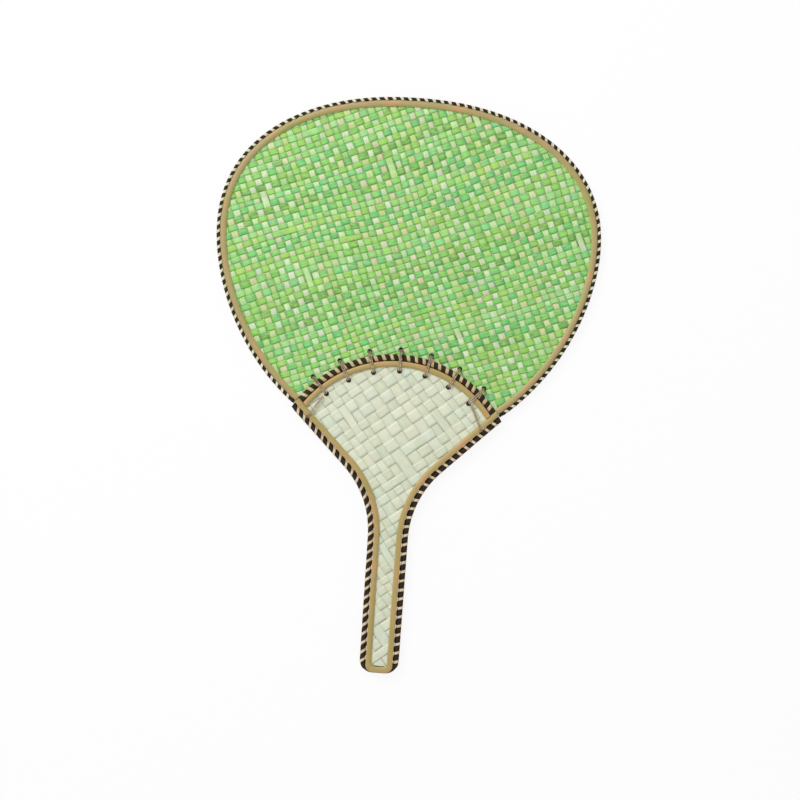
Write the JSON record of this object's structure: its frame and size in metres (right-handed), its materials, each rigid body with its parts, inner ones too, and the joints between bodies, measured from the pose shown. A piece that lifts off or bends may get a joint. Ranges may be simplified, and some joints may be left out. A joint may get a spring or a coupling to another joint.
{
  "type": "woven hand fan",
  "caption": "Flat hand fan: an oval plain-woven blade with a whipped bamboo rim, laced to a plaited handle with a fishtail top.",
  "frame": {"origin": "centre of the fan's footprint, at the height of its lowest pieces, the lacing ties at the back", "axes": "+Z is the front face's outward direction, +Y runs from the handle to the blade, +X to the right seen from the front"},
  "size_m": [0.2688, 0.4018, 0.0098],
  "materials": {
    "weave": "satin split-bamboo weave, green with cream strips",
    "plait": "satin plaited leaf, pale green and cream",
    "bamboo": "satin natural bamboo",
    "core": "plain split bamboo",
    "dark_cord": "matt black-brown fibre cord",
    "thread": "matt cream thread",
    "waxed_tie": "waxed brown-grey thread"
  },
  "bodies": {
    "root": {"blade_panel": "weave", "blade_rim_strip_front": "bamboo", "blade_rim_strip_back": "bamboo", "blade_edge_cord": "dark_cord", "blade_whipping": "thread", "handle_leaf_front": "plait", "handle_leaf_back": "plait", "handle_core": "core", "arc_strip_front": "bamboo", "arc_strip_back": "bamboo", "side_strip_front": "bamboo", "side_strip_back": "bamboo", "side_cord": "dark_cord", "arc_cord_front": "dark_cord", "arc_cord_back": "dark_cord", "side_whipping_left": "thread", "side_whipping_right": "thread", "arc_whipping": "thread", "lacing_tie_1": "waxed_tie", "lacing_tie_2": "waxed_tie", "lacing_tie_3": "waxed_tie", "lacing_tie_4": "waxed_tie", "lacing_tie_5": "waxed_tie", "lacing_tie_6": "waxed_tie", "lacing_tie_7": "waxed_tie", "corner_tie_left": "waxed_tie", "corner_tie_right": "waxed_tie"}
  },
  "joints": []
}
